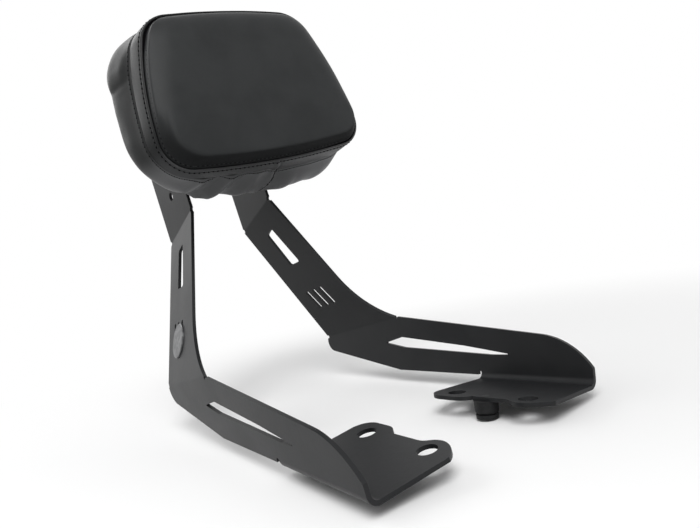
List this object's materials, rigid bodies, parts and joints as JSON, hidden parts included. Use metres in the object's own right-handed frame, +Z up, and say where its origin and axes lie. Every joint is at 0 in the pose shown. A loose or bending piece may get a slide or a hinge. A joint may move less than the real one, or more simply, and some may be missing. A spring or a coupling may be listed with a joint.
{
  "type": "motorcycle backrest",
  "caption": "Padded passenger backrest held by two folded plate arms with slotted limbs, drilled feet and a U-shaped bracket behind the pad.",
  "frame": {"origin": "midway between the two rear foot holes, at the undersides of the feet", "axes": "+Z up, +Y rearwards on the motorcycle, +X to the rider's left; X = 0 is the plane between the two arms"},
  "size_m": [0.2248, 0.3971, 0.3732],
  "materials": {
    "arm_paint": "satin black powder coat",
    "bracket_paint": "satin black powder coat",
    "peg_plastic": "matt black",
    "disc_metal": "satin grey",
    "cover_vinyl": "soft black leathercloth",
    "back_cloth": "plain black leathercloth",
    "foam": "open-cell foam",
    "board_wood": "plywood",
    "zinc_steel": "zinc plated",
    "dark_steel": "black oxide"
  },
  "bodies": {
    "root": {"left_arm": "arm_paint", "right_arm": "arm_paint", "pad_bracket": "bracket_paint", "guide_peg": "peg_plastic", "guide_peg_screw": "dark_steel", "trim_disc": "disc_metal", "pad_cover_front": "cover_vinyl", "pad_cover_band": "cover_vinyl", "pad_cover_skirt": "cover_vinyl", "pad_cover_back": "back_cloth", "pad_foam": "foam", "pad_board": "board_wood", "pad_tee_nuts": "zinc_steel", "pad_screws": "dark_steel", "pad_washers": "dark_steel", "left_tab_bolts": "dark_steel", "right_tab_bolts": "dark_steel", "left_tab_washers": "dark_steel", "right_tab_washers": "dark_steel", "left_tab_nuts": "dark_steel", "right_tab_nuts": "dark_steel"}
  },
  "joints": []
}
